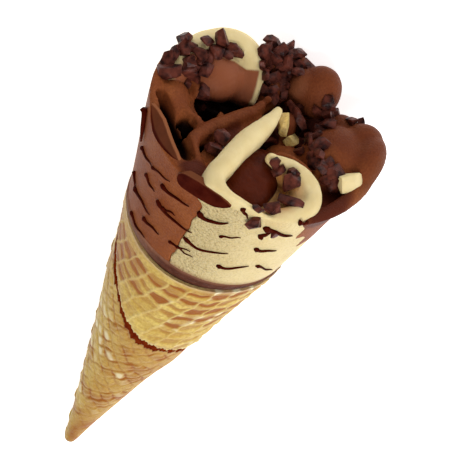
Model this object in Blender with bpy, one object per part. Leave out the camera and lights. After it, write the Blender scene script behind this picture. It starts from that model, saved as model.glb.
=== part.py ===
"""Ice cream cone, lying on its back.

A rolled sugar wafer with a chocolate lining holds four quarters of ice cream, chocolate and vanilla in
turn, which run down inside it and open into piped lobes and ribbons at the top. A pool of sauce lies in
the front ribbon, and two large pieces of chocolate sit in the front of the rim.

Everything is modelled standing up, in the cone's own frame: the point where the cone's sides would meet
at the origin, the axis along +Z, and +X towards the side that faces up once the cone lies down. The empty
``lying_frame`` carries every piece and turns them all onto the ground. Metres throughout.
"""

import math

import bmesh
import bpy
from mathutils import Matrix, Vector

MM = 0.001

# Driving dimensions of the cone
HALF_ANGLE = math.radians(11.75)
SLOPE = math.tan(HALF_ANGLE)
RIM_HEIGHT = 107.7 * MM          # wafer rim at the front and the back
RIM_RISE = 3.1 * MM              # how much higher the rim is at the two sides
TIP_BALL_HEIGHT = 8.5 * MM       # centre of the ball that rounds the tip
WAFER_WALL = 1.8 * MM
FLAP_THICKNESS = 0.9 * MM        # how far the outer turn of the wafer stands off the turn below
SEAM_STEP = 0.2 * MM             # height of the sloping step from the under turn up onto the outer one
LINING_WALL = 1.2 * MM
LIP_INSET = 0.35 * MM            # the lining's lip is this much inside the wafer's cone
ICE_BASE = 112.0 * MM            # where the ice cream widens out over the lining's lip
ICE_INSET = 0.15 * MM            # the ice cream's side is this much inside the wafer's cone
ICE_LEAN = 1.2 * MM              # the top of the ice cream leans this far to -Y
LEAN_HEIGHT = 150.0 * MM         # where it leans that far
EDGE_HEIGHT = 152.0 * MM         # where the top's outer edge is measured
HOLLOW_HEIGHT = 143.0 * MM       # floor of the hollows between the lobes
BANK_HEIGHT = 147.0 * MM         # the floor rises to this towards the outer edge
BANK_START = 9.0 * MM            # how far in from the edge the rise starts
BANK_END = 3.0 * MM              # and where it ends
SHOULDER = 2.0 * MM              # rounding of the top's outer edge
GAP = 0.3 * MM                   # between pieces that touch
REST_DEPTH = 0.4 * MM            # depth of the flat strip that the cone lies on

# The nested cones inside: the height of each one's point and of its first ring, and a ring halfway up
STRAIGHT_FROM = 12.0 * MM        # the wafer's outside is a straight cone from here up
WAFER_INSIDE = (17.0 * MM, 20.0 * MM)
LINING_OUTSIDE = (21.0 * MM, 24.0 * MM)
LINING_INSIDE = (26.0 * MM, 28.0 * MM)
ICE_OUTSIDE = (29.0 * MM, 31.0 * MM)
HALFWAY = 60.0 * MM

# Where the rolled wafer bulges: azimuth in degrees, height, how far it spreads along the cone, depth
SWELLINGS = (
    (77, 62.0 * MM, 9.0 * MM, 1.0 * MM),
    (-80, 80.0 * MM, 11.0 * MM, 0.7 * MM),
)
SWELLING_SPREAD = 38             # degrees round the cone

COLUMNS = 72                     # segments around the cone
TOP_RINGS = 14                   # rings across the top of the ice cream

# The outer turn's edge: azimuth in degrees and height in millimetres, once round from rim to tip and back
SEAM = (
    (-84, 109), (-72, 103), (-59, 96), (-36, 86), (-17, 79), (5, 74.3), (35, 72.2), (70, 71.5),
    (115, 66), (155, 50), (200, 24), (240, 60), (276, 109),
)
SEAM_START, SEAM_FADE_OUT = -84, 200

# Lobes of the top: crest height, half width, how round the crest is, and the path in plan, in millimetres
LOBES = {
    "front_ribbon": (155.5, 2.5, 0.5, [(-4, -1), (5, -1.2), (15, -1.9), (24, -2.0), (28.4, 0.5), (28.8, 7)]),
    "curled_ribbon": (154.0, 2.5, 0.5, [
        (9, 7), (7.5, 11.7), (8.5, 16), (12, 19.6), (17, 21.3), (22, 20.5), (26, 15)]),
    "right_lobe": (156.0, 7.5, 0.35, [(-13, 15), (-9, 21)]),
    "back_lobe": (156.0, 6.0, 0.45, [(-22, 8), (-12, 5)]),
    "vanilla_lobe": (156.0, 6.5, 0.4, [(-20, -15), (-12, -21)]),
    "left_lobe": (151.5, 6.0, 0.4, [(2, -24), (13, -20)]),
    "left_edge": (151.5, 3.0, 0.4, [(13, -23), (25, -11)]),
    "inner_fold": (150.5, 1.8, 0.5, [(3, -8), (12, -9.5), (21, -11)]),
}
FLANK = 2.4                      # steepness of a lobe's side
BLEND = 0.7                      # millimetres over which lobes melt into each other

# Where the flavours meet, in plan, from the middle outwards, in millimetres
MIDDLE = (-4, -2)
BORDERS = {
    "left_front": [(2, -4.6), (70, -4.6)],
    "front_right": [(3, 5), (4.5, 12), (7, 18.5), (13, 24), (17, 27), (45, 68)],
    "right_back": [(-12, -1), (-70, -1.5)],
    "back_left": [(-2, -70)],
}
QUARTERS = {
    "ice_chocolate_left": ("back_left", "left_front"),
    "ice_vanilla_front": ("left_front", "front_right"),
    "ice_chocolate_right": ("front_right", "right_back"),
    "ice_vanilla_back": ("right_back", "back_left"),
}

# Sauce pool in the front ribbon: centre and half sizes, in millimetres
SAUCE_CENTRE = (19.5, 5.5, 146.5)
SAUCE_RADII = (7.0, 4.6, 5.0)

# Wedges that cut the quarters apart: reach from the axis, lowest and highest level, in millimetres
WEDGE_REACH = 90
WEDGE_LEVELS = (10, 170)

# Large pieces of chocolate in the rim: azimuth span, middle height, half height, radii off the side
BLADE = {"span": (-57, -21), "height": 150.8, "half": 3.6, "inner": -1.6, "outer": 0.2}
SHARD = {"span": (-21, 9), "height": 149.0, "half": 3.2, "inner": -2.8, "outer": 0.3}
SLAB_STEPS = 10                  # sections along each of them
END_FULLNESS = 0.35              # depth of their ends as a share of the depth in the middle


# ---------------------------------------------------------------- scene, materials and mesh helpers

def clear_scene():
    for thing in list(bpy.data.objects):
        bpy.data.objects.remove(thing, do_unlink=True)


def make_material(name, colour, roughness):
    material = bpy.data.materials.new(name)
    material.use_nodes = True
    shader = material.node_tree.nodes["Principled BSDF"]
    shader.inputs["Base Color"].default_value = (*colour, 1.0)
    shader.inputs["Roughness"].default_value = roughness
    return material


def add_object(name, bm, material, smooth_angle=40):
    """Turn a bmesh into a named object, faces outwards, rounded shading with sharp creases."""
    bmesh.ops.recalc_face_normals(bm, faces=bm.faces)
    mesh = bpy.data.meshes.new(name)
    bm.to_mesh(mesh)
    bm.free()
    mesh.shade_smooth()
    mesh.set_sharp_from_angle(angle=math.radians(smooth_angle))
    thing = bpy.data.objects.new(name, mesh)
    bpy.context.scene.collection.objects.link(thing)
    if material:
        mesh.materials.append(material)
    return thing


def make_cutter(thing):
    thing.hide_render = True
    thing.display_type = "WIRE"
    return thing


def add_boolean(thing, cutter, operation):
    modifier = thing.modifiers.new(f"{operation.lower()}_{cutter.name}", "BOOLEAN")
    modifier.operation = operation
    modifier.object = cutter
    modifier.solver = "EXACT"


def turned_solid(profile):
    """Skin the profile's rings round the axis; its first and last point are poles on the axis.

    ``profile(azimuth)`` gives the same number of (radius, height, shift) points at every azimuth,
    where shift is the sideways lean of that ring along Y.
    """
    bm = bmesh.new()
    rows = [profile(math.tau * column / COLUMNS) for column in range(COLUMNS)]
    first, last = rows[0][0], rows[0][-1]
    start_pole = bm.verts.new((0, first[2], first[1]))
    end_pole = bm.verts.new((0, last[2], last[1]))
    rings = []
    for column, row in enumerate(rows):
        azimuth = math.tau * column / COLUMNS
        ring = []
        for radius, height, shift in row[1:-1]:
            spot = Vector((radius * math.cos(azimuth), radius * math.sin(azimuth) + shift, height))
            ring.append(bm.verts.new(flattened(spot)))
        rings.append(ring)
    for column in range(COLUMNS):
        here, there = rings[column], rings[(column + 1) % COLUMNS]
        bm.faces.new((start_pole, there[0], here[0]))
        bm.faces.new((end_pole, here[-1], there[-1]))
        for level in range(len(here) - 1):
            bm.faces.new((here[level], there[level], there[level + 1], here[level + 1]))
    return bm


# ---------------------------------------------------------------- the cone's shape as functions

def flattened(spot):
    """Keep a point above the ground plane, which runs along the cone's back just under its surface."""
    lowest_x = (REST_DEPTH - math.sin(HALF_ANGLE) * spot.z) / math.cos(HALF_ANGLE)
    return Vector((max(spot.x, lowest_x), spot.y, spot.z))


def smooth_step(low, high, value):
    part = min(1.0, max(0.0, (value - low) / (high - low)))
    return part * part * (3 - 2 * part)


def between(table, value):
    """Straight-line reading of a table of (key, value) pairs."""
    for (low, start), (high, end) in zip(table, table[1:]):
        if value <= high:
            return start + (end - start) * max(0.0, value - low) / (high - low)
    return table[-1][1]


def turn_degrees(azimuth):
    """The azimuth in degrees, counted once round from the start of the seam."""
    return (math.degrees(azimuth) - SEAM_START) % 360 + SEAM_START


def swelling(azimuth, height):
    """A rolled wafer is never quite round: it bulges low on the right and higher on the left."""
    total = 0.0
    for middle, middle_height, along, depth in SWELLINGS:
        away = (math.degrees(azimuth) - middle + 180) % 360 - 180
        closeness = (away / SWELLING_SPREAD) ** 2 + ((height - middle_height) / along) ** 2
        total += depth * math.exp(-closeness)
    return total


def under_turn_radius(azimuth, height):
    return height * SLOPE - FLAP_THICKNESS / 3 + swelling(azimuth, height)


def flap_step(azimuth):
    """How far the outer turn stands out: full at its start, fading as the roll winds in."""
    degrees = turn_degrees(azimuth)
    fade = max(0.0, 1 - (degrees - SEAM_START) / (SEAM_FADE_OUT - SEAM_START))
    return FLAP_THICKNESS * fade


def seam_height(azimuth):
    return between(SEAM, turn_degrees(azimuth)) * MM


def rim_height(azimuth):
    return RIM_HEIGHT + RIM_RISE * math.sin(azimuth) ** 2


def lean(height):
    return -ICE_LEAN * smooth_step(ICE_BASE, LEAN_HEIGHT, height)


def ice_radius(height):
    return height * SLOPE - ICE_INSET


def stroke_distance(x, y, points):
    """Distance in plan from (x, y) to a path of straight pieces."""
    best = math.inf
    for (ax, ay), (bx, by) in zip(points, points[1:]):
        along_x, along_y = bx - ax, by - ay
        part = ((x - ax) * along_x + (y - ay) * along_y) / (along_x ** 2 + along_y ** 2)
        part = min(1.0, max(0.0, part))
        best = min(best, math.hypot(x - ax - part * along_x, y - ay - part * along_y))
    return best


def lobe_height(x, y, lobe):
    """Height in millimetres of one lobe over a point in plan: a round crest with steep sides."""
    crest, half_width, roundness, points = lobe
    away = stroke_distance(x, y, points)
    if away <= half_width:
        return crest - roundness * half_width * (1 - math.sqrt(1 - (away / half_width) ** 2))
    return crest - roundness * half_width - FLANK * (away - half_width)


def top_height(x, y):
    """Height of the ice cream's top over a point in plan, both in metres: lobes melted together."""
    heights = [lobe_height(x / MM, y / MM, lobe) for lobe in LOBES.values()]
    edge = ice_radius(BANK_HEIGHT)
    bank = smooth_step(edge - BANK_START, edge - BANK_END, math.hypot(x, y))
    heights.append((HOLLOW_HEIGHT + (BANK_HEIGHT - HOLLOW_HEIGHT) * bank) / MM)
    highest = max(heights)
    return (highest + BLEND * math.log(sum(math.exp((h - highest) / BLEND) for h in heights))) * MM


# ---------------------------------------------------------------- wafer and lining

def wafer_profile(azimuth):
    tip_radius = TIP_BALL_HEIGHT * math.sin(HALF_ANGLE)
    points = [(0, TIP_BALL_HEIGHT - tip_radius, 0)]
    for angle in (35, 70):
        turn = math.radians(angle)
        points.append((tip_radius * math.sin(turn), TIP_BALL_HEIGHT - tip_radius * math.cos(turn), 0))
    seam = seam_height(azimuth)
    step_top = seam + SEAM_STEP
    rim = rim_height(azimuth)
    for part in (0.0, 0.2, 0.4, 0.6, 0.8, 1.0):
        height = STRAIGHT_FROM + (seam - STRAIGHT_FROM) * part
        points.append((under_turn_radius(azimuth, height), height, 0))
    for part in (0.0, 0.33, 0.67, 1.0):
        height = step_top + (rim - step_top) * part
        points.append((under_turn_radius(azimuth, height) + flap_step(azimuth), height, 0))
    inner_point, inner_ring = WAFER_INSIDE
    for height in (rim, HALFWAY, inner_ring):
        points.append((height * SLOPE - WAFER_WALL, height, 0))
    points.append((0, inner_point, 0))
    return points


def make_wafer():
    material = make_material("wafer", (0.50, 0.31, 0.10), 0.6)
    return add_object("wafer_cone", turned_solid(wafer_profile), material)


def lining_profile(azimuth):
    """A thin shell against the wafer's inside whose lip covers the wafer's rim."""
    outer_offset = WAFER_WALL + GAP
    inner_offset = outer_offset + LINING_WALL
    lip_foot = rim_height(azimuth) + GAP
    lip_top = ICE_BASE - GAP
    outer_point, outer_ring = LINING_OUTSIDE
    inner_point, inner_ring = LINING_INSIDE
    points = [(0, outer_point, 0)]
    for height in (outer_ring, HALFWAY, lip_foot):
        points.append((height * SLOPE - outer_offset, height, 0))
    for height in (lip_foot, lip_top):
        points.append((height * SLOPE - LIP_INSET, height, 0))
    for height in (lip_top, HALFWAY, inner_ring):
        points.append((height * SLOPE - inner_offset, height, 0))
    points.append((0, inner_point, 0))
    return points


def make_lining():
    material = make_material("lining_chocolate", (0.12, 0.042, 0.021), 0.4)
    return add_object("chocolate_lining", turned_solid(lining_profile), material)


# ---------------------------------------------------------------- ice cream

def ice_profile(azimuth):
    """From the bottom inside the lining, out over the lip, up the side and across the lobes."""
    core_offset = WAFER_WALL + LINING_WALL + 2 * GAP
    core_point, core_ring = ICE_OUTSIDE
    points = [(0, core_point, 0)]
    for height in (core_ring, HALFWAY, ICE_BASE):
        points.append((height * SLOPE - core_offset, height, 0))
    across, along = math.cos(azimuth), math.sin(azimuth)
    rim_radius = ice_radius(EDGE_HEIGHT) - SHOULDER
    rim_top = top_height(rim_radius * across, rim_radius * along + lean(EDGE_HEIGHT))
    side_top = rim_top - 0.6 * SHOULDER
    for part in (0.0, 0.35, 0.7, 1.0):
        height = ICE_BASE + (side_top - ICE_BASE) * part
        points.append((ice_radius(height), height, lean(height)))
    shift = lean(side_top)
    for ring in range(TOP_RINGS):
        radius = (ice_radius(side_top) - 0.5 * SHOULDER) * (1 - ring / TOP_RINGS)
        height = top_height(radius * across, radius * along + shift)
        points.append((radius, max(height, side_top) if ring == 0 else height, shift))
    middle_shift = lean(EDGE_HEIGHT)
    points.append((0, top_height(0, middle_shift), middle_shift))
    return points


def offset_border(path, distance):
    """Move a path in plan sideways, to its left when the distance is positive."""
    moved = []
    for index, (x, y) in enumerate(path):
        before = path[max(index - 1, 0)]
        after = path[min(index + 1, len(path) - 1)]
        along = Vector((after[0] - before[0], after[1] - before[1])).normalized()
        moved.append((x - along.y * distance, y + along.x * distance))
    return moved


def make_wedge(name, first_border, second_border):
    """A prism over one quarter in plan, held back by half a gap from each border."""
    half_gap = GAP / MM / 2
    first = offset_border([MIDDLE] + BORDERS[first_border], half_gap)
    second = offset_border([MIDDLE] + BORDERS[second_border], -half_gap)
    outer = []
    first_end, second_end = first[-1], second[-1]
    start = math.atan2(first_end[1], first_end[0])
    sweep = (math.atan2(second_end[1], second_end[0]) - start) % math.tau
    for step in range(1, 4):
        angle = start + sweep * step / 4
        outer.append((WEDGE_REACH * math.cos(angle), WEDGE_REACH * math.sin(angle)))
    inner = middle_corner(first, second)
    outline = [inner] + first[1:] + outer + second[:0:-1]
    low, high = WEDGE_LEVELS
    bm = bmesh.new()
    bottom = [bm.verts.new((x * MM, y * MM, low * MM)) for x, y in outline]
    top = [bm.verts.new((x * MM, y * MM, high * MM)) for x, y in outline]
    bm.faces.new(bottom[::-1])
    bm.faces.new(top)
    count = len(outline)
    for index in range(count):
        after = (index + 1) % count
        bm.faces.new((bottom[index], bottom[after], top[after], top[index]))
    return make_cutter(add_object(name, bm, None))


def middle_corner(first, second):
    """Where two offset borders cross near the middle."""
    start_a, end_a = Vector(first[0]), Vector(first[1])
    start_b, end_b = Vector(second[0]), Vector(second[1])
    along_a, along_b = end_a - start_a, end_b - start_b
    cross = along_a.x * along_b.y - along_a.y * along_b.x
    gap = start_b - start_a
    part = (gap.x * along_b.y - gap.y * along_b.x) / cross
    return tuple(start_a + along_a * part)


def make_ice_cream():
    colours = {"chocolate": (0.22, 0.075, 0.028), "vanilla": (0.76, 0.62, 0.31)}
    quarters = {}
    for name, (first, second) in QUARTERS.items():
        flavour = "vanilla" if "vanilla" in name else "chocolate"
        material = make_material(f"{name}_{flavour}", colours[flavour], 0.45)
        quarter = add_object(name, turned_solid(ice_profile), material, 50)
        add_boolean(quarter, make_wedge(f"wedge_{name}", first, second), "INTERSECT")
        quarters[name] = quarter
    return quarters


# ---------------------------------------------------------------- sauce and large chocolate pieces

def sauce_blob(name, grow, material):
    bm = bmesh.new()
    bmesh.ops.create_uvsphere(bm, u_segments=20, v_segments=12, radius=1.0)
    radii = [radius * MM + grow for radius in SAUCE_RADII]
    bm.transform(Matrix.Diagonal((*radii, 1.0)))
    bm.transform(Matrix.Translation(Vector(SAUCE_CENTRE) * MM))
    return add_object(name, bm, material)


def rim_slab(name, sizes, grow, material):
    """A curved slab set in the ice cream's side, deepest in its middle and thin at both ends."""
    start, end = (math.radians(angle) for angle in sizes["span"])
    middle = sizes["height"] * MM
    turn_grow = grow / ice_radius(middle)
    start -= turn_grow
    end += turn_grow
    sections = []
    bm = bmesh.new()
    for step in range(SLAB_STEPS + 1):
        part = step / SLAB_STEPS
        fullness = END_FULLNESS + (1 - END_FULLNESS) * math.sin(math.pi * part)
        half = sizes["half"] * MM * fullness + grow
        azimuth = start + (end - start) * part
        section = []
        for height, offset in (
            (middle - half, sizes["inner"] * MM - grow),
            (middle - half, sizes["outer"] * MM + grow),
            (middle + half, sizes["outer"] * MM + grow),
            (middle + half, sizes["inner"] * MM - grow),
        ):
            radius = ice_radius(height) + offset
            section.append(bm.verts.new((
                radius * math.cos(azimuth), radius * math.sin(azimuth) + lean(height), height)))
        sections.append(section)
    for here, there in zip(sections, sections[1:]):
        for corner in range(4):
            after = (corner + 1) % 4
            bm.faces.new((here[corner], here[after], there[after], there[corner]))
    bm.faces.new(sections[0])
    bm.faces.new(sections[-1][::-1])
    return add_object(name, bm, material)


def make_toppings(quarters):
    sauce = make_material("sauce", (0.075, 0.014, 0.006), 0.2)
    dark = make_material("dark_chocolate", (0.045, 0.012, 0.006), 0.35)
    sauce_blob("sauce_pool", 0.0, sauce)
    rim_slab("chocolate_blade", BLADE, 0.0, dark)
    rim_slab("chocolate_shard", SHARD, 0.0, dark)
    pocket = make_cutter(sauce_blob("sauce_pocket", GAP, None))
    blade_slot = make_cutter(rim_slab("blade_slot", BLADE, GAP, None))
    shard_slot = make_cutter(rim_slab("shard_slot", SHARD, GAP, None))
    for name in ("ice_chocolate_left", "ice_vanilla_front"):
        for cutter in (pocket, blade_slot, shard_slot):
            add_boolean(quarters[name], cutter, "DIFFERENCE")


# ---------------------------------------------------------------- lying down

def lay_down():
    """Turn the cone onto its back and put the origin at the bottom centre of its box."""
    tilt = Matrix.Rotation(math.pi / 2 - HALF_ANGLE, 4, "Y")
    face_up = Matrix.Rotation(math.pi, 4, "Z")
    turn = tilt @ face_up
    bpy.context.view_layer.update()
    graph = bpy.context.evaluated_depsgraph_get()
    spots = []
    things = [thing for thing in bpy.context.scene.objects if not thing.hide_render]
    for thing in things:
        mesh = thing.evaluated_get(graph).to_mesh()
        spots.extend(turn @ vertex.co for vertex in mesh.vertices)
        thing.evaluated_get(graph).to_mesh_clear()
    low = [min(spot[axis] for spot in spots) for axis in range(3)]
    high = [max(spot[axis] for spot in spots) for axis in range(3)]
    centre = Vector(((low[0] + high[0]) / 2, (low[1] + high[1]) / 2, low[2]))
    frame = bpy.data.objects.new("lying_frame", None)
    bpy.context.scene.collection.objects.link(frame)
    for thing in bpy.context.scene.objects:
        if thing is not frame:
            thing.parent = frame
    frame.matrix_world = Matrix.Translation(-centre) @ turn
    bpy.context.view_layer.update()


def main():
    clear_scene()
    make_wafer()
    make_lining()
    make_toppings(make_ice_cream())
    lay_down()


main()
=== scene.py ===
# %% [markdown]
# # An ice cream cone lying on its back
#
# A plain solid part is loaded first, and this lesson dresses it as a real ice cream cone: a rolled waffle
# sheet with a chocolate lining, chocolate and vanilla ice cream, sauce, and chopped chocolate. Each large
# piece made here takes the place of a plain one, at the same spot and size; the chopped chocolate, crumbs
# and streaks are extra.

# %% Load the part
import math
import random

import bpy
import numpy as np
from mathutils import Matrix, Vector, noise
from mathutils.bvhtree import BVHTree


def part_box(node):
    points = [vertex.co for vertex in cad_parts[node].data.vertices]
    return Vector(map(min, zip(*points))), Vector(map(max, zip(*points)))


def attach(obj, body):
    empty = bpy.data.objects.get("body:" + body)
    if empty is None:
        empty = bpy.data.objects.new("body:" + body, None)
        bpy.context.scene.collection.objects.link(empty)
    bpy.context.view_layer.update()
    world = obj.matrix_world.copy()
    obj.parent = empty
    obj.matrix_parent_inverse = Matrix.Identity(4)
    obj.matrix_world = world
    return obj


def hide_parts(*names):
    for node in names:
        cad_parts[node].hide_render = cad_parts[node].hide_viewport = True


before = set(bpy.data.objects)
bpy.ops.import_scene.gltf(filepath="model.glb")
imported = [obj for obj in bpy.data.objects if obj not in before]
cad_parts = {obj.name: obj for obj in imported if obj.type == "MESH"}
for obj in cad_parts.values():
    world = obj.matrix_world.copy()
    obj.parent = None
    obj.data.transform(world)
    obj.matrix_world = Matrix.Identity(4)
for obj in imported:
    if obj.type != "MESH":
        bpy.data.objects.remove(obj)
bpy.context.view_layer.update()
mm = 0.001

# %% [markdown]
# ## Which way is up
#
# A cone is easiest to think about standing up, so every piece is modelled standing: the point where the
# cone's sides would meet is the origin, Z runs up the axis, and X points to the side that will face up.
# The matrix below lays that standing cone down where the solid part lies.

# %% The cone's own frame
half_angle = math.radians(11.75)
slope = math.tan(half_angle)
lean_back, lean_up = math.sin(half_angle), math.cos(half_angle)

wafer_low, wafer_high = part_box("wafer_cone")
pool_low, pool_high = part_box("sauce_pool")
sharp_tip = Vector((wafer_low.x - 6.59 * mm, (pool_low.y + pool_high.y) / 2 + 5.5 * mm, -0.4 * mm))
lying = Matrix((
    (-lean_back, 0, lean_up, sharp_tip.x),
    (0, -1, 0, sharp_tip.y),
    (lean_up, 0, lean_back, sharp_tip.z),
    (0, 0, 0, 1),
))
print("sharp tip in mm:", [round(v / mm, 1) for v in sharp_tip])

# %% [markdown]
# ## Small helpers
#
# Operators work on whatever is selected, so each step first deselects everything and then takes its own
# piece. Points can also be read into one array, changed together, and written back.

# %% Select and apply


def bare():
    """Leave edit mode and deselect everything, so the next operator only touches its own piece."""
    if bpy.context.mode != "OBJECT":
        bpy.ops.object.mode_set(mode="OBJECT")
    bpy.ops.object.select_all(action="DESELECT")


def take(piece):
    """Select one piece and make it the active one."""
    bare()
    piece.select_set(True)
    bpy.context.view_layer.objects.active = piece
    return piece


def apply_all(piece):
    take(piece)
    for modifier in list(piece.modifiers):
        bpy.ops.object.modifier_apply(modifier=modifier.name)


def joined(name, parts):
    """Join parts into one piece with its origin at the cone's tip."""
    bare()
    for part in parts:
        part.select_set(True)
    bpy.context.view_layer.objects.active = parts[0]
    bpy.ops.object.join()
    piece = bpy.context.object
    piece.name = name
    bpy.ops.object.transform_apply(location=True, rotation=True, scale=True)
    return piece


def dress(piece, finish):
    piece.data.materials.clear()
    piece.data.materials.append(finish.material)


# %% Points and values


def read_points(piece):
    points = np.empty(len(piece.data.vertices) * 3, np.float32)
    piece.data.vertices.foreach_get("co", points)
    return points.reshape(-1, 3).astype(float)


def write_points(piece, points):
    piece.data.vertices.foreach_set("co", points.astype(np.float32).ravel())
    piece.data.update()


def write_values(piece, name, values):
    """Store one number per vertex, which the piece's material can read by name."""
    layer = piece.data.attributes.new(name, "FLOAT", "POINT")
    layer.data.foreach_set("value", np.clip(values, 0, 1).astype(np.float32))


def ease(low, high, value):
    """0 below low, 1 above high, and a soft rise between."""
    part = np.clip((value - low) / (high - low), 0, 1)
    return part * part * (3 - 2 * part)


# %% Lay a piece down


def lay_down(piece, node):
    """Turn a finished standing piece onto the ground and hang it on the part."""
    take(piece)
    bpy.ops.object.transform_apply(location=True, rotation=True, scale=True)
    piece.matrix_world = lying
    bpy.ops.object.transform_apply(location=True, rotation=True, scale=True)
    points = read_points(piece)
    points[:, 2] = np.maximum(points[:, 2], 0.0)
    write_points(piece, points)
    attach(piece, "root")
    if node:
        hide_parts(node)
    print(f"{piece.name}: {sum(len(face.vertices) - 2 for face in piece.data.polygons)} triangles")


# %% [markdown]
# ## Camera, floor and light
#
# The camera stands well back with a long lens, so the cone keeps its true proportions. The floor is plain
# and nearly white. The room is an even white light, and one large soft lamp beside the camera gives the
# pieces their bright and dark sides.

# %% Camera
bare()
bpy.ops.object.camera_add(
    location=sharp_tip + Vector((770.30, 0.0, 1046.71)) * mm,
    rotation=[math.radians(angle) for angle in (-28.802, 16.506, -62.107)],
)
camera = bpy.context.object
camera.name = "camera"
camera.data.lens = 357.985
camera.data.clip_end = 20
bpy.context.scene.camera = camera
bpy.context.scene.view_settings.view_transform = "Standard"

# %% Floor
bpy.ops.mesh.primitive_plane_add(size=6, location=(0, 0, 0))
floor = bpy.context.object
floor.name = "floor"
floor_paint = bpy.data.materials.new("floor paint")
floor_paint.use_nodes = True
floor_shader = floor_paint.node_tree.nodes["Principled BSDF"]
floor_shader.inputs["Base Color"].default_value = (0.93, 0.93, 0.93, 1)
floor_shader.inputs["Roughness"].default_value = 0.9
floor_shader.inputs["Emission Color"].default_value = (1, 1, 1, 1)
floor_shader.inputs["Emission Strength"].default_value = 0.8
floor.data.materials.append(floor_paint)

# %% Light
world = bpy.data.worlds.new("white room")
bpy.context.scene.world = world
world.use_nodes = True
world.node_tree.nodes["Background"].inputs["Color"].default_value = (1, 1, 1, 1)
world.node_tree.nodes["Background"].inputs["Strength"].default_value = 0.36

camera_turn = camera.matrix_world.to_3x3()
view_right, view_up, view_back = (camera_turn @ Vector(axis) for axis in ((1, 0, 0), (0, 1, 0), (0, 0, 1)))
lamp_place = (view_back - 0.75 * view_up + 0.08 * view_right).normalized() * 0.9
bpy.ops.object.light_add(type="AREA", location=lamp_place)
lamp = bpy.context.object
lamp.name = "key lamp"
lamp.data.size = 0.4
lamp.data.energy = 6.0
lamp.rotation_euler = lamp_place.to_track_quat("Z", "Y").to_euler()

# %% [markdown]
# ## Materials
#
# Food is never one flat colour. Each material mixes two or three close colours by soft noise, most add a
# fine bump at their real scale, and the wafer and the vanilla let a little light in under the surface. Where
# a colour follows the shape, such as browning in a groove, the piece stores a value at each vertex and the
# material reads it.

# %% Material tools


def linear(red, green, blue):
    """A colour as a screen shows it (0 to 255) turned into the light values that shaders use."""
    parts = []
    for value in (red, green, blue):
        value /= 255
        parts.append(value / 12.92 if value <= 0.04045 else ((value + 0.055) / 1.055) ** 2.4)
    return (*parts, 1.0)


class Finish:
    """A material under construction: the Principled shader and short ways to add nodes to it."""

    def __init__(self, name, roughness, shine=0.2, inside=0.0, inside_mm=(1.0, 0.6, 0.4)):
        self.material = bpy.data.materials.new(name)
        self.material.use_nodes = True
        self.nodes = self.material.node_tree.nodes
        self.link = self.material.node_tree.links.new
        self.shader = self.nodes["Principled BSDF"]
        self.shader.inputs["Roughness"].default_value = roughness
        self.shader.inputs["Specular IOR Level"].default_value = shine
        self.shader.inputs["Subsurface Weight"].default_value = inside
        self.shader.inputs["Subsurface Radius"].default_value = inside_mm
        self.shader.inputs["Subsurface Scale"].default_value = mm
        self.place = self.nodes.new("ShaderNodeTexCoord").outputs["Object"]

    def noise(self, size_mm, detail=3.0, low=0.35, high=0.65):
        """Soft noise whose patches are about size_mm across, stretched to run from 0 to 1."""
        texture = self.nodes.new("ShaderNodeTexNoise")
        texture.inputs["Scale"].default_value = 1 / (size_mm * mm)
        texture.inputs["Detail"].default_value = detail
        self.link(self.place, texture.inputs["Vector"])
        stretch = self.nodes.new("ShaderNodeMapRange")
        stretch.inputs["From Min"].default_value = low
        stretch.inputs["From Max"].default_value = high
        self.link(texture.outputs["Fac"], stretch.inputs["Value"])
        return stretch.outputs["Result"]

    def value(self, name):
        """The number stored at each vertex under this name."""
        node = self.nodes.new("ShaderNodeAttribute")
        node.attribute_name = name
        return node.outputs["Fac"]

    def times(self, first, second):
        """One amount times another, which may be a plain number."""
        node = self.nodes.new("ShaderNodeMath")
        node.operation = "MULTIPLY"
        self.link(first, node.inputs[0])
        if isinstance(second, float):
            node.inputs[1].default_value = second
        else:
            self.link(second, node.inputs[1])
        return node.outputs["Value"]

    def mix(self, first, second, amount):
        """Mix two colours; each is either a colour or the output of an earlier mix."""
        node = self.nodes.new("ShaderNodeMix")
        node.data_type = "RGBA"
        for socket, colour in ((node.inputs[6], first), (node.inputs[7], second)):
            if isinstance(colour, tuple):
                socket.default_value = colour
            else:
                self.link(colour, socket)
        self.link(amount, node.inputs[0])
        return node.outputs[2]

    def colour(self, result):
        self.link(result, self.shader.inputs["Base Color"])

    def bump(self, height, depth_mm):
        """Raise the surface by up to depth_mm where height is 1, on top of any earlier bump."""
        node = self.nodes.new("ShaderNodeBump")
        node.inputs["Distance"].default_value = depth_mm * mm
        self.link(height, node.inputs["Height"])
        if self.shader.inputs["Normal"].is_linked:
            self.link(self.shader.inputs["Normal"].links[0].from_socket, node.inputs["Normal"])
        self.link(node.outputs["Normal"], self.shader.inputs["Normal"])


# %% Wafer finish
wafer = Finish("baked wafer", roughness=0.45, shine=0.14, inside=0.12)
gold = wafer.mix(linear(214, 180, 86), linear(230, 204, 112), wafer.noise(7))
gold = wafer.mix(gold, linear(176, 128, 56), wafer.times(wafer.noise(0.9, 6), 0.5))
baked = wafer.mix(gold, linear(160, 94, 34), wafer.value("browning"))
# Paler colour: the pale cut edge and the ridge lines, plus painted highlights on glossy cells.
baked = wafer.mix(baked, linear(244, 232, 190), wafer.value("pale_and_highlight"))
# Painted shadow: the band of the turn below under the flap's edge turns dark red-brown, shade from the flap together
# with real browning.
wafer.colour(wafer.mix(baked, linear(120, 60, 26), wafer.value("gap")))
wafer.bump(wafer.noise(0.4, 5, 0.2, 0.8), 0.12)
wafer.bump(wafer.noise(1.6, 4, 0.2, 0.8), 0.25)

# The darkest faces of that band get a dark finish of their own: painted shadow with real browning.
gap_shadow_and_browning = Finish("dark gap under the flap", roughness=0.9, shine=0.0)
gap_shadow_and_browning.colour(gap_shadow_and_browning.mix(linear(96, 26, 8), linear(124, 48, 16), gap_shadow_and_browning.noise(1.5)))

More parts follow.
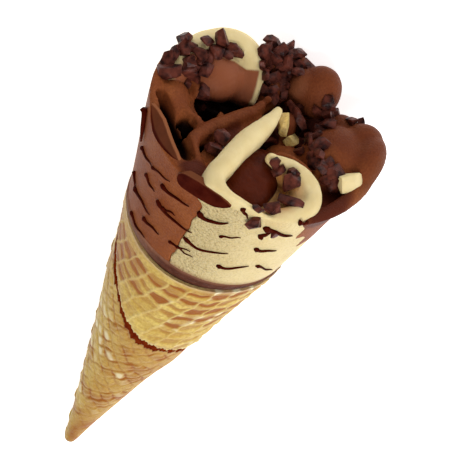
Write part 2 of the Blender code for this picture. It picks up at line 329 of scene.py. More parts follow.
# %% Vanilla finish
vanilla = Finish("vanilla ice cream", roughness=0.5, shine=0.1, inside=0.25, inside_mm=(1.2, 1.0, 0.6))
cream = vanilla.mix(linear(228, 208, 156), linear(220, 198, 144), vanilla.noise(5))
grain = vanilla.value("grain")
cream = vanilla.mix(cream, linear(212, 189, 136), vanilla.times(grain, 0.6))
cream = vanilla.mix(cream, linear(170, 142, 92), vanilla.times(vanilla.noise(0.6, 4, 0.5, 0.75), grain))
cream = vanilla.mix(cream, linear(176, 110, 48), vanilla.value("caramel"))
# The sauce value is a real sauce coat on the back vanilla, and painted shade along the foot of the front vanilla.
cream = vanilla.mix(cream, linear(138, 78, 50), vanilla.value("sauce"))
vanilla.colour(vanilla.mix(cream, linear(30, 10, 6), vanilla.value("shade")))
vanilla.bump(vanilla.times(vanilla.noise(0.8, 4, 0.3, 0.7), grain), 0.55)
vanilla.bump(vanilla.noise(0.5, 3, 0.3, 0.7), 0.05)

# %% Chocolate finishes
milk_choc = Finish("chocolate ice cream", roughness=0.48, shine=0.04)
brown = milk_choc.mix(linear(152, 86, 46), linear(138, 73, 39), milk_choc.noise(6))
brown = milk_choc.mix(brown, linear(92, 44, 24), milk_choc.times(milk_choc.noise(0.6, 4), 0.4))
# Painted highlight where the light value is set.
brown = milk_choc.mix(brown, linear(144, 92, 58), milk_choc.value("light"))
# The sauce value is real sauce on the tops, and painted shade in the valleys of the left chocolate.
brown = milk_choc.mix(brown, linear(84, 36, 22), milk_choc.value("sauce"))
milk_choc.colour(milk_choc.mix(brown, linear(26, 8, 5), milk_choc.value("shade")))
milk_choc.bump(milk_choc.noise(0.5, 3, 0.3, 0.7), 0.10)

sauce = Finish("dark sauce", roughness=0.36, shine=0.03)
sauce.colour(sauce.mix(linear(60, 16, 4), linear(82, 30, 12), sauce.noise(8)))
sauce.bump(sauce.noise(4), 0.2)

crumb = Finish("vanilla crumb", roughness=0.6, shine=0.05)
crumb.colour(crumb.mix(linear(238, 206, 126), linear(226, 196, 132), crumb.noise(2)))
crumb.bump(crumb.noise(0.6), 0.2)

dark_choc = Finish("dark chocolate", roughness=0.34, shine=0.1)
dark_choc.colour(dark_choc.mix(linear(36, 12, 10), linear(98, 48, 37), dark_choc.noise(2.2)))
dark_choc.bump(dark_choc.noise(0.8, 3), 0.06)

deep_choc = Finish("deep chocolate", roughness=0.5, shine=0.01)
deepest = deep_choc.mix(linear(56, 8, 2), linear(72, 20, 8), deep_choc.noise(3))
# Painted highlight: the light value lifts the slabs' top edges and the blade's face.
deep_choc.colour(deep_choc.mix(deepest, linear(148, 92, 60), deep_choc.value("light")))

lining_finish = Finish("lining chocolate", roughness=0.45, shine=0.06)
lining_brown = lining_finish.mix(linear(92, 50, 36), linear(78, 40, 28), lining_finish.noise(3))
lining_finish.colour(lining_finish.mix(lining_brown, linear(172, 122, 96), lining_finish.value("frost")))
lining_finish.bump(lining_finish.noise(1.2), 0.15)

# %% [markdown]
# ## The wafer
#
# A sugar cone is a flat waffle rolled while hot. So we do the same: press the waffle pattern into a flat
# sheet, then roll the sheet. On the flat sheet a point has a distance from the cone's sharp tip and an
# angle; rolling turns that angle into a much larger turn around the axis. The outer turn starts at a free
# edge, the flap, which stands off the turn below it. The band under its edge is painted dark: painted
# shadow of the flap together with real browning.

# %% Sizes of the wafer, in mm and degrees
rim_height, rim_rise = 107.7, 3.1        # the rim is higher at the two sides
tip_ball_height = 8.5
tip_ball_radius = tip_ball_height * math.sin(half_angle)
tip_end = tip_ball_height - tip_ball_radius
sheet_thickness = 0.9
flap_start, flap_end = -84.0, 276.0      # turns at which the outer sheet's free edge starts and ends
seam_edge = np.array([
    (-84, 109), (-72, 103), (-59, 96), (-36, 86), (-17, 79), (5, 74.3), (35, 72.2), (70, 71.5),
    (115, 66), (155, 50), (190, 24), (205, tip_end),
])


def seam_height(turn):
    """Height of the flap's free edge at each turn; slightly ragged, as it is when broken."""
    ragged = 0.35 * np.sin(turn * 0.61) + 0.25 * np.sin(turn * 1.7 + 1) + 0.15 * np.sin(turn * 4.3)
    height = np.interp(turn, seam_edge[:, 0], seam_edge[:, 1])
    return height + ragged * ease(tip_end, 60, height) * (turn < 200)


def rim(turn):
    return rim_height + rim_rise * np.sin(np.radians(turn)) ** 2


def turns_away(turn, middle):
    """How far each turn is from a middle one, the short way round."""
    return (turn - middle + 180) % 360 - 180


def under_radius(turn, height):
    """Radius of the turn that lies underneath, rounded at the tip and bulging a little at the sides."""
    straight = height * slope - 0.3 * ease(9, 20, height)
    ball = np.sqrt(np.maximum(tip_ball_radius ** 2 - (height - tip_ball_height) ** 2, 0))
    tangent = tip_ball_height - tip_ball_radius * math.sin(half_angle)
    right = 1.0 * np.exp(-(turns_away(turn, 77) / 38) ** 2 - ((height - 62) / 9) ** 2)
    left = 0.5 * np.exp(-(turns_away(turn, -80) / 38) ** 2 - ((height - 80) / 13) ** 2)
    return np.where(height < tangent, ball, straight) + right + left


# %% [markdown]
# ## The waffle pattern
#
# A waffle iron presses two families of parallel lines into the sheet. We measure every point's distance
# to the nearest line of each family. Near a line the sheet is low and browner; between lines it puffs up.
# Soft noise shifts the lines a little and makes some cells paler than others, as uneven heat does. Some
# cells also get a painted highlight: a pale spot where a glossy cell would catch the lamp.

# %% Lines and cells on the flat sheet


def flat_place(turn, height):
    """Where a point of the rolled sheet lay on the flat one: across and along, in mm."""
    distance = height / math.cos(half_angle)
    angle = np.radians(turn) * math.sin(half_angle)
    return distance * np.sin(angle), distance * np.cos(angle)


def stripes(across, along, angle, spacing, start):
    """Distance to the nearest line of a family of parallel lines, and the number of that line."""
    angle = math.radians(angle)
    measure = (across * math.sin(angle) - along * math.cos(angle) - start) / spacing
    line = np.round(measure)
    return (measure - line) * spacing, line


def cell_chance(first, second):
    """A steady random number from 0 to 1 for each waffle cell."""
    return np.abs(np.sin(first * 12.9898 + second * 78.233) * 43758.5453) % 1


def wander(across, along, size, seed):
    """Soft noise from -1 to 1 over the flat sheet, with patches about size mm across."""
    spots = zip(across / size, along / size)
    return np.array([noise.noise(Vector((x, y, seed * 7.3))) for x, y in spots]) * 1.6


# %% Pattern of the outer turn


def flap_pattern(turn, height):
    """Relief in mm, browning, and paleness of the outer turn; the paleness includes painted highlights on some cells.
    """
    across, along = flat_place(turn, height)
    blotch, shift = wander(across, along, 6.0, 1), wander(across, along, 3.0, 2)
    thin, thin_line = stripes(across + 0.5 * shift, along, 69.5, 5.15, -36.6)
    bend = np.clip(across, -25, 20)
    measure = (along + 0.18 * across - 0.009 * bend ** 2 + 0.7 * shift - 102.9) / 4.75
    row = np.round(measure)
    from_band = np.abs(measure - row) * 4.75
    band = 1 - ease(0.5, 1.6, from_band + 0.5 * blotch)
    ridge = np.exp(-(thin / 0.36) ** 2)
    chance = cell_chance(thin_line + np.sign(thin) * 0.5, row)
    below_rim = rim(turn) - height
    border_width = np.interp(across, [-15, -5, 0, 4, 8, 12], [4.5, 4, 3.5, 2.5, 1, 0])
    border = ease(0.0, 0.8, border_width - below_rim)
    near_rim = ease(82, 97, along + 0.25 * across)
    to_right = ease(1, 8, across)
    browning = band * (1 - ridge) * (0.16 + 0.30 * to_right + 0.65 * near_rim) * (0.6 + 0.6 * chance)
    browning = browning + (0.38 * near_rim + 0.1) * (1 - ridge) * ease(0.2, 0.9, chance + 0.6 * blotch)
    browning = browning * (1 - border) + 0.08 * border + 0.10 * ease(0.2, 0.9, blotch) + 0.26 * ease(-4, -14, across)
    browning = browning + 0.30 * (1 - ease(0.3, 1.2, below_rim))
    relief = (0.26 * (1 - band) * (0.5 + 0.5 * to_right) + 0.26 * ridge) * (1 - border) + 0.2 * border
    relief = relief + 0.06 * shift
    # Painted highlight: pale spots on some cells, standing in for the glint of a glossy cell.
    painted_highlight = (1 - band) * ease(0.6, 0.9, chance) * to_right * ease(0.3, 0.9, 1 - np.abs(thin) / 2.6)
    painted_highlight = painted_highlight * (1 - 0.75 * ease(60, 100, turn))
    line_light = (0.15 - 0.05 * to_right) * ridge * (1 - border) + 0.24 * (1 - ease(0.3, 1.2, below_rim))
    return relief, browning, 0.9 * painted_highlight + line_light


# %% Pattern of the turn underneath


def under_pattern(turn, height):
    """The same three for the turn underneath, where the lines run the other way."""
    across, along = flat_place(turn, height)
    blotch, shift = wander(across, along, 6.0, 3), wander(across, along, 2.6, 4)
    wobble = 0.4 * np.sin(along * 0.31 + across * 0.2) + 0.9 * shift
    first, first_line = stripes(across + wobble, along, -39.5, 3.9, 0.8)
    second, second_line = stripes(across, along + wobble, 53, 3.6, 0.4)
    chance = cell_chance(first_line, second_line)
    valley = np.maximum(1 - ease(0.05, 0.5, 1.95 - np.abs(first)), 1 - ease(0.05, 0.5, 1.8 - np.abs(second)))
    puff = np.cos(first / 3.9 * math.pi) * np.cos(second / 3.6 * math.pi)
    broken = ease(-0.35, 0.45, blotch + 0.5 * (chance - 0.5))
    clear = ease(12, 30, height) * (0.35 + 0.65 * broken)
    facing = np.abs(turns_away(turn, 0))
    relief = (0.28 * puff - 0.18 * valley) * (0.25 + 0.75 * clear) * (0.4 + 0.6 * ease(20, 45, height)) + 0.08 * shift
    relief = relief * (1 - 0.8 * ease(50, 75, facing) * (1 - ease(100, 130, facing)))
    strength = ease(-0.9, 0.5, wander(across, along, 2.0, 6))
    browning = 0.75 * valley * clear * strength + 0.34 * ease(-0.2, 0.8, blotch) + 0.22 * (1 - ease(10, 30, height))
    left = ease(-10, -25, turns_away(turn, 0)) * (1 - ease(62, 75, facing))
    # Painted highlight: pale spots on the puffs, most of them on the left side.
    painted_highlight = ease(0.35, 0.9, puff + 0.3 * shift) * ease(0.62 - 0.12 * left, 0.9 - 0.12 * left, chance)
    painted_highlight = painted_highlight * ease(20, 36, height) * (1 - left * ease(66, 78, height))
    browning = browning + 0.42 - 0.24 * ease(-5, -35, turns_away(turn, 0)) * (1 - ease(80, 110, facing))
    beside = ease(0.5, 0.9, 1.95 - np.abs(first)) * (1 - ease(0.9, 1.3, 1.95 - np.abs(first)))
    pale_and_highlight = 0.7 * painted_highlight * np.maximum(1 - ease(35, 60, facing), left) + 0.22 * beside * clear
    return relief, browning, pale_and_highlight


# %% [markdown]
# ## Rolling the sheet
#
# The sheet is a grid. Its columns go round the cone, and its rows run up the outside, over the edge and
# back down the inside, so the rolled sheet is a closed skin. The flap presses closest to the turn below at
# its left end and stands off most at the front. Under its edge a band of the turn below is painted dark:
# painted shadow of the flap together with real browning.

# %% Stand-off and dark gap


def stand_off(turn):
    """How far the outer turn's outside is from the outside of the turn below."""
    pressed = 0.4 + 0.6 * ease(-72, -12, turn)
    lifted = 0.15 * ease(-40, 0, turn) * (1 - ease(70, 150, turn))
    return sheet_thickness * (1 - (turn - flap_start) / 360) * pressed + lifted


def gap_shadow_and_browning_amount(turn, height):
    """How much painted shadow and browning the turn below gets: 1 right under the flap's edge, fading to 0 away from
    it.
    """
    turn = turn - 360
    climb = (seam_height(turn + 9) - seam_height(turn - 9)) / (math.radians(18) * height * slope)
    below = (seam_height(turn) - height) / np.sqrt(1 + climb ** 2)
    reach = np.interp(turn, [-84, -60, -36, -17, 5, 25, 38, 55, 70, 100, 160],
                      [3.0, 4.2, 2.7, 2.9, 3.8, 3.6, 3.0, 3.4, 4.2, 2.0, 1.0])
    reach = reach + 0.5 * wander(turn / 9, height / 40, 1.0, 5)
    return (1 - ease(0.8, 1.05, below / reach)) * (turn < 195)


# %% Roll one turn


def sheet_heights(turn, row, rows, outer):
    """Lowest and highest height of each column, and the height of each point."""
    if outer:
        low = np.where(turn < 205, seam_height(turn), tip_end)
        high = rim(turn)
    else:
        low = np.full(len(turn), tip_end)
        high = np.minimum(seam_height(turn - 360) + 5, rim(turn) - 0.5)
    high = np.maximum(high, low + 0.3)
    height = low + (high - low) * np.clip(row / rows, 0, 1) ** 1.06
    height[row == rows + 1] = high[row == rows + 1]
    height[row >= rows + 2] = low[row >= rows + 2]
    return low, height


def rolled_sheet(name, first_turn, last_turn, columns, rows, outer):
    bare()
    bpy.ops.mesh.primitive_grid_add(x_subdivisions=columns, y_subdivisions=rows + 3, size=1)
    sheet = bpy.context.object
    sheet.name = name
    flat = read_points(sheet)
    turn = first_turn + (last_turn - first_turn) * (flat[:, 0] + 0.5)
    row = np.round((flat[:, 1] + 0.5) * (rows + 3))
    low, height = sheet_heights(turn, row, rows, outer)
    off_tip = ease(tip_end, tip_end + 4, height)
    radius = under_radius(turn, height)
    if outer:
        relief, browning, pale_and_highlight = flap_pattern(turn, height)
        from_edge = np.where(turn < 200, height - low, 99)
        radius = radius + stand_off(turn) * off_tip
        relief = relief * ease(-0.5, 1.5, from_edge)
        pale_and_highlight = pale_and_highlight + 0.3 * np.exp(-(from_edge / 0.6) ** 2)
        gap = np.zeros(len(turn))
    else:
        relief, browning, pale_and_highlight = under_pattern(turn, height)
        gap = gap_shadow_and_browning_amount(turn, height)
    outside = row <= rows
    inner_radius = np.maximum(radius - 0.75 * off_tip - 0.05, 0.02)
    radius = np.where(outside, radius + relief * off_tip, inner_radius)
    column_first = np.lexsort((row, flat[:, 0])).reshape(columns + 1, rows + 4)
    radius[column_first[:, -1]] = radius[column_first[:, 0]]
    azimuth = np.radians(turn)
    write_points(sheet, np.stack([radius * np.cos(azimuth), radius * np.sin(azimuth), height], axis=1) * mm)
    for value_name, values in (("browning", browning), ("pale_and_highlight", pale_and_highlight), ("gap", gap)):
        write_values(sheet, value_name, values)
    close_up(sheet)
    # Faces deep in the painted shadow under the flap take the dark gap finish.
    gap = [entry.value for entry in sheet.data.attributes["gap"].data]
    bpy.ops.object.shade_smooth_by_angle(angle=math.radians(50))
    dress(sheet, wafer)
    sheet.data.materials.append(gap_shadow_and_browning.material)
    for face in sheet.data.polygons:
        face.material_index = int(min(gap[vertex] for vertex in face.vertices) > 0.5)
    return sheet


def close_up(piece):
    """Merge the edges that meet, fill what is still open, and point every face outwards."""
    take(piece)
    bpy.ops.object.mode_set(mode="EDIT")
    bpy.ops.mesh.select_all(action="SELECT")
    bpy.ops.mesh.remove_doubles(threshold=0.001 * mm)
    bpy.ops.mesh.fill_holes(sides=0)
    bpy.ops.mesh.select_all(action="SELECT")
    bpy.ops.mesh.normals_make_consistent(inside=False)
    bpy.ops.object.mode_set(mode="OBJECT")


outer_turn = rolled_sheet("wafer_outer_turn", flap_start, flap_end, 420, 150, outer=True)
inner_turn = rolled_sheet("wafer_inner_turn", flap_end, flap_end + 294, 250, 180, outer=False)
lay_down(outer_turn, "wafer_cone")
lay_down(inner_turn, "wafer_cone")

# %% [markdown]
# ## The chocolate lining
#
# Chocolate coats the inside of the wafer and shows as a thick band above its rim, tucked under the ice
# cream. It is a ring made from a grid: columns go round, and rows follow the outline of the band's section
# and come back to their start. Its upper edge is not a clean line, so its height wanders a little.

# %% Lining
ice_base = 112.0
section = np.array([
    # share of the way round the section, share of the height from rim to ice, distance out from the cone
    (0.00, -0.5, -0.9), (0.15, 0.0, -0.9), (0.22, 0.05, -0.3), (0.32, 0.2, 0.1), (0.50, 0.5, 0.25),
    (0.66, 0.85, 0.15), (0.74, 1.0, -0.25), (0.80, 1.1, -0.9), (0.88, 1.1, -3.0), (0.94, -0.5, -3.0),
    (1.00, -0.5, -0.9),
])


def lining_band():
    bare()
    bpy.ops.mesh.primitive_grid_add(x_subdivisions=360, y_subdivisions=28, size=1)
    band = bpy.context.object
    band.name = "lining_band"
    flat = read_points(band)
    turn = 360 * (flat[:, 0] + 0.5)
    azimuth = np.radians(turn)
    waves = 0.16 * np.sin(3 * azimuth + 1) + 0.14 * np.sin(11 * azimuth) + 0.12 * np.sin(29 * azimuth + 2)
    span = ice_base + waves - rim(turn)
    up = np.interp(flat[:, 1] + 0.5, section[:, 0], section[:, 1])
    height = rim(turn) + np.maximum(span, 0.9) * up
    radius = height * slope + np.interp(flat[:, 1] + 0.5, section[:, 0], section[:, 2])
    write_points(band, np.stack([radius * np.cos(azimuth), radius * np.sin(azimuth), height], axis=1) * mm)
    left_side = ease(5, 35, -turns_away(turn, 0)) * (np.abs(turns_away(turn, 0)) < 150)
    write_values(band, "frost", 0.35 * left_side + 0.4 * ease(0.75, 1.0, up))
    close_up(band)
    bpy.ops.object.shade_smooth()
    dress(band, lining_finish)
    return band


lining = lining_band()

# %% [markdown]
# ## The ice cream
#
# Soft ice cream is piped, so each flavour is built from soft parts: blocks that fill the sleeve, ribbons
# swept along a path, and lumps. The parts are joined and melted into one skin by a voxel remesh. Hollows
# are cut out of it, it is pressed into the paper sleeve it was filled in, and both are done by a Boolean.
# A last remesh and a smoothing soften the cut edges.

# %% Blocks and lumps


def block(outline, low, high):
    """A prism over an outline in plan, in mm."""
    bpy.ops.mesh.primitive_circle_add(vertices=len(outline), radius=mm, fill_type="NGON")
    prism = bpy.context.object
    for vertex, (x, y) in zip(prism.data.vertices, outline):
        vertex.co = Vector((x, y, low)) * mm
    bpy.ops.object.mode_set(mode="EDIT")
    bpy.ops.mesh.select_all(action="SELECT")
    bpy.ops.mesh.extrude_region_move(TRANSFORM_OT_translate={"value": (0, 0, (high - low) * mm)})
    bpy.ops.mesh.select_all(action="SELECT")
    bpy.ops.mesh.normals_make_consistent(inside=False)
    bpy.ops.object.mode_set(mode="OBJECT")
    return prism


def lump(centre, radii, turn=0.0, tilt=0.0):
    """A ball squashed to three half sizes in mm, turned about the axis and tilted, in degrees."""
    bpy.ops.mesh.primitive_uv_sphere_add(
        segments=32, ring_count=16, radius=1, location=Vector(centre) * mm,
        rotation=(0, math.radians(tilt), math.radians(turn)), scale=Vector(radii) * mm)
    return bpy.context.object


# %% [markdown]
# ### Ribbons
#
# A ribbon is a curve with a round bevel, which Blender turns into a pipe; extruding the bevel downwards
# makes the pipe a wall with a round crest. A radius at each point of the curve makes it thinner or thicker.

# %% Ribbons


def swept(places, widths, half_width, depth=0.0, steps=8, roundness=4):
    """A pipe, or a wall of some depth, swept along places in mm and turned into a mesh."""
    bare()
    bpy.ops.curve.primitive_bezier_curve_add(radius=mm, location=(0, 0, 0))
    sweep = bpy.context.object
    curve = sweep.data
    curve.dimensions = "3D"
    curve.twist_mode = "Z_UP"
    curve.resolution_u = steps
    curve.bevel_depth = half_width * mm
    curve.bevel_resolution = roundness
    curve.extrude = depth / 2 * mm
    curve.use_fill_caps = True
    curve.splines.clear()
    spline = curve.splines.new("BEZIER")
    spline.bezier_points.add(len(places) - 1)
    for point, place, width in zip(spline.bezier_points, places, widths):
        point.co = Vector(place) * mm
        point.radius = width
        point.handle_left_type = point.handle_right_type = "AUTO"
    take(sweep)
    bpy.ops.object.convert(target="MESH")
    return bpy.context.object


def ribbon(path, half_width, depth):
    """A wall along a path of (x, y, height of its crest), with a round lump at both ends.

    A fourth number makes the wall thinner or thicker there.
    """
    path = [(*place, 1.0)[:4] for place in path]
    widths = [width for _, _, _, width in path]
    places = [(x, y, crest - (half_width + depth / 2) * width) for x, y, crest, width in path]
    parts = [swept(places, widths, half_width, depth)]
    for x, y, crest, width in (path[0], path[-1]):
        parts.append(lump((x, y, crest - half_width * width), (half_width * width,) * 3))
    return parts


# %% The paper sleeve


def ice_radius(height):
    return height * slope - 0.15


def ice_lean(height):
    """The top of the ice cream leans a little to one side."""
    return -1.2 * ease(ice_base, 150, height)


def sleeve(swell, bulge):
    """The inside of the sleeve as a solid to cut with; above it the ice cream may bulge out to the right."""
    bare()
    bpy.ops.mesh.primitive_circle_add(vertices=180, radius=mm, fill_type="NGON")
    solid = bpy.context.object
    heights = np.array([ice_base - 0.2, *np.arange(114, 170, 4.0)])
    bpy.ops.object.mode_set(mode="EDIT")
    for _ in heights[1:]:
        bpy.ops.mesh.extrude_region_move(TRANSFORM_OT_translate={"value": (0, 0, mm)})
    bpy.ops.mesh.select_all(action="SELECT")
    bpy.ops.mesh.normals_make_consistent(inside=False)
    bpy.ops.object.mode_set(mode="OBJECT")
    points = read_points(solid) / mm
    azimuth = np.arctan2(points[:, 1], points[:, 0])
    height = heights[np.round(points[:, 2]).astype(int)]
    radius = ice_radius(height) + swell
    radius = radius + bulge * ease(144, 152, height) * np.maximum(np.cos(azimuth - math.radians(112)), 0)
    sides = radius * np.sin(azimuth) + ice_lean(height)
    write_points(solid, np.stack([radius * np.cos(azimuth), sides, height], axis=1) * mm)
    return solid


# %% Melt parts together


def voxel(piece, size_mm):
    modifier = piece.modifiers.new("melt", "REMESH")
    modifier.mode = "VOXEL"
    modifier.voxel_size = size_mm * mm
    apply_all(piece)


def cut(piece, cutter, operation):
    modifier = piece.modifiers.new("cut", "BOOLEAN")
    modifier.operation = operation
    modifier.object = cutter
    modifier.solver = "MANIFOLD"
    apply_all(piece)
    bpy.data.objects.remove(cutter)


def one_list(parts):
    """Ribbons are lists of parts; put them and the single parts into one list."""
    return [item for part in parts for item in (part if isinstance(part, list) else [part])]


def wobble(piece):
    """Shift points by one soft noise shared by all pieces, so borders are ragged and neighbours still fit."""
    points = read_points(piece)
    shifts = np.array([noise.noise_vector(Vector(point) / (2.6 * mm)) for point in points])
    low = 1 - 0.85 * ease(144, 149, points[:, 2] / mm)
    write_points(piece, points + shifts * low[:, None] * (0.8, 0.8, 0.3) * mm)


def melt(name, parts, finish, hollows=(), swell=0.0, bulge=0.0):
    """Join soft parts, melt them into one skin, cut the hollows, press it into the sleeve and soften it."""
    piece = joined(name, one_list(parts))
    voxel(piece, 0.5)
    wobble(piece)
    if hollows:
        hollow = joined("hollow", one_list(hollows))
        voxel(hollow, 0.5)
        cut(piece, hollow, "DIFFERENCE")
    cut(piece, sleeve(swell, bulge), "INTERSECT")
    voxel(piece, 0.42)
    modifier = piece.modifiers.new("soften", "SMOOTH")
    modifier.iterations = 5
    apply_all(piece)
    bpy.ops.object.shade_smooth()
    dress(piece, finish)
    size = [round(side / mm, 1) for side in piece.dimensions]
    print(f"{name}: {size} mm, {len(piece.data.polygons)} faces")
    return piece


# %% [markdown]
# ### Four quarters
#
# Chocolate and vanilla take turns round the cone. The front left chocolate has a low outer wall, a lobe, a
# long fold, and deep hollows between them.

# %% Chocolate, left
bare()
choc_left = melt("chocolate_left", [
    block([(-4, -2.7), (45, -2.7), (45, -45), (-2, -45)], 111, 138),
    block([(14, -2.7), (45, -2.7), (45, -45), (12, -45), (14, -24), (22, -14)], 111, 148.2),
    lump((26.0, -8.6, 147.2), (5.0, 5.0, 2.6)),
    ribbon([(14.0, -27.6, 150.4), (8.5, -30.0, 151.0), (3, -31.5, 151.2), (-2, -32, 150.8)], 3.4, 10),
    lump((7.0, -25.0, 145.2), (8.6, 6.4, 6.0), 10),
    lump((3.5, -17.0, 143.0), (8.0, 6.0, 4.4)),
    ribbon([(11.0, -24.5, 149.0), (14.0, -20.5, 148.2), (17.2, -17.5, 147.6), (20.0, -14.8, 147.4)], 1.3, 7),
    ribbon([(-8.5, -3.0, 152.6, 0.6), (-4, -4.4, 152.3), (2.6, -7.6, 151.8, 1.15), (8, -10.6, 151.4, 1.2),
            (13.5, -13.0, 151, 1.1), (17.5, -13.6, 150.8), (20.8, -11.8, 150.2), (22.8, -9.4, 149.6)], 1.9, 10),
    ribbon([(-3, -2.6, 149.6), (2, -4.2, 149.6), (8, -6.0, 149.4), (13, -7.4, 149.2), (18, -8.0, 149.2)], 2.4, 8),
    lump((12.6, -8.1, 149.2), (1.5, 1.5, 1.5)),
    lump((9.6, -16.0, 148.0), (1.9, 1.9, 1.9)),
    ribbon([(4.0, -26.5, 151.0), (7.5, -22.5, 150.4), (8.6, -18.5, 149.2)], 1.3, 6),
    ribbon([(-3.5, -25.5, 151.0), (-1.5, -21.5, 150.4), (1.5, -19.0, 149.4)], 1.2, 5),
    lump((1.5, -12.0, 145.6), (2.4, 2.2, 2.4)),
], milk_choc, hollows=[
    ribbon([(11.6, -25.4, 160, 0.35), (14.0, -22.4, 160), (17.2, -18.6, 160), (20.2, -15.2, 160, 0.8),
            (22.6, -12.8, 160, 0.35)], 2.1, 14),
    ribbon([(9.0, -20.3, 160), (11.5, -18.0, 160, 0.6), (15.5, -15.8, 160, 0.5)], 2.1, 12),
    lump((0.5, -16.0, 145), (6.0, 3.8, 9), 20),
    lump((-4.5, -9.5, 144), (6.0, 3.6, 11), -35),
])

# %% [markdown]
# The right chocolate is the largest: a dome at the back, a broad shell with a shallow groove on the right,
# whose outer edge bulges over the sleeve, and a bank between them that will carry chopped chocolate.

# %% Chocolate, right and back
choc_right = melt("chocolate_right", [
    block([(-4, -2), (-2, 8), (-2, 45), (-45, 45), (-45, -1.5), (-12, -1)], 111, 142),
    block([(-4, -2), (3, 5), (4.5, 12), (7, 18.5), (9, 40), (-45, 40), (-45, -1.5)], 131, 142),
    block([(7, 18.5), (13, 24), (23, 28), (23, 40), (-4, 40), (-4, 20)], 131, 146),
    lump((-22.0, 7.0, 150.2), (6.2, 6.4, 8.8)),
    lump((-20.2, 2.4, 149.8), (4.8, 3.4, 6.6)),
    lump((-18.6, 9.0, 148.5), (4.0, 4.4, 5.5)),
    lump((-23.0, -7.5, 148.5), (5.4, 5.0, 6.6)),
    lump((-25.0, -2.5, 148.5), (4.6, 4.6, 7.6)),
    lump((-15.5, -3.6, 146.5), (6.0, 3.2, 5.0)),
    lump((0.5, 9.5, 143.0), (6.0, 6.0, 4.2)),
    lump((-8.5, 4.6, 145.5), (4.6, 3.0, 5.0)),
    ribbon([(7.4, 5.4, 150.4), (5.6, 8.4, 151.4), (5.0, 12.5, 151.6), (5.6, 16.5, 151.0)], 0.9, 8),
    lump((-17.5, 18.5, 145.5), (6.0, 6.5, 6.0)),
    lump((-6.5, 20.5, 146.0), (11.0, 9.5, 9.2), 0, 8),
    lump((-9.5, 27.8, 147.5), (10.0, 5.6, 9.4), 8),
    lump((-14.5, 24.5, 149.0), (6.0, 6.0, 7.0)),
    ribbon([(-3, 30.5, 152.0), (4, 29.3, 151.4), (11, 26.8, 150.4), (18, 23, 149.2)], 2.2, 8),
], milk_choc, hollows=[
    lump((-14.2, 9.0, 143.6), (2.8, 6.0, 4.6)),
], swell=0.10, bulge=2.6)

# %% [markdown]
# The front vanilla carries a ribbon bent like a V along the sauce, and a second ribbon that curls up from
# the middle and round the right side of the sauce. The back vanilla is one tall curled petal.

# %% Vanilla, front
vanilla_front = melt("vanilla_front", [
    block([(-4, -2.7), (45, -2.7), (45, 45), (-3, 45)], 111, 143),
    block([(20, -2.7), (45, -2.7), (45, 45), (12, 22), (10, 10)], 111, 147.0),
    ribbon([(-4.6, 0.9, 154.8, 0.45), (-0.5, 0.5, 155.3, 0.72), (4.7, -0.6, 155.7, 0.9), (10.2, -1.9, 155.7),
            (21, -3.4, 155.2), (28.0, -3.6, 154.2), (30.6, 0, 153.4), (30.3, 5, 152.4), (29, 10, 151)], 2.9, 5),
    ribbon([(10.4, 8.6, 150.6), (11.4, 12.4, 151.4), (13.4, 15.8, 151.2), (16.5, 16.8, 150.0)], 2.3, 7),
    ribbon([(9.8, 6.0, 152.9, 0.66), (9.4, 8.0, 153.4, 0.8), (9.0, 10.8, 153.8, 0.95), (9.0, 13.6, 153.8, 1.05),
            (9.6, 16.4, 153.5), (11.4, 19.2, 152.9), (14.6, 20.8, 152.2), (18.2, 19.6, 151.0),
            (21.4, 17.4, 150.2), (24, 14.8, 149.8)], 2.7, 9),
    ribbon([(29, 10, 150), (26.5, 15, 149.5), (23, 19.5, 149.5)], 3.0, 6),
], vanilla, swell=0.05)

# %% Vanilla, back
vanilla_back = melt("vanilla_back", [
    block([(-4, -2), (-2, -45), (-45, -45), (-45, -1.5), (-12, -1)], 111, 142),
    ribbon([(3, -28.0, 150.0, 0.9), (-3, -27.6, 153.2), (-9, -25.8, 155.8), (-14, -22.6, 157.2), (-17.2, -18.4, 157.6),
            (-17.4, -14.6, 156.8), (-15.2, -11.6, 155.0, 0.9), (-12.2, -9.6, 152.4, 0.8),
            (-9.4, -8.6, 149.6, 0.7)], 4.3, 10),
    lump((-9.5, -18.5, 148.5), (8.5, 7.5, 6.6), 30),
    lump((-9.8, -13.0, 147.0), (4.0, 3.0, 7.0), 30),
], vanilla, swell=0.05)

# %% [markdown]
# ### Sauce, stains, painted shade and painted highlights by place
#
# The sauce fills the bowl between the two front ribbons. Elsewhere sauce and caramel are stains, while
# painted shade darkens the deep hollows and some valleys and painted highlights lighten a few edges: each
# vertex gets a value from where it lies, and the materials read those values. To place a stain where it
# is seen, points are first slid along the line of sight onto one level.

# %% Sauce
bare()
pool = lump((16.6, 4.4, 146.6), (13.0, 7.2, 4.2), -3)
pool.name = "sauce_dome"
take(pool)
bpy.ops.object.transform_apply(location=True, rotation=True, scale=True)
voxel(pool, 0.4)
bpy.ops.object.shade_smooth()
dress(pool, sauce)

# %% Stains and painted shade
fall = Vector((-0.669, 0, -0.743)).normalized()
level = 153.8


def blot(points, centre, radii, soft=0.25):
    """1 inside an egg-shaped region, 0 outside, with a soft edge."""
    away = np.linalg.norm((points - np.array(centre)) / np.array(radii), axis=1)
    return 1 - ease(1 - soft, 1 + soft, away)


def seen_place(points):
    """Where points appear in plan at one level, x and y in mm."""
    return points[:, 0] + (level - points[:, 2]) * fall.x / fall.z, points[:, 1]


def to_side(points):
    """Distance from the axis as a share of the distance at which the outer side lies."""
    return np.hypot(points[:, 0], points[:, 1] + 1.2) / ice_radius(points[:, 2])


def in_hollow(points, low, high):
    """How much painted shade a point gets: 1 deep down between the lobes, 0 at the crests and on the outer side."""
    return (1 - ease(low, high, points[:, 2])) * (1 - ease(0.86, 0.93, to_side(points)))


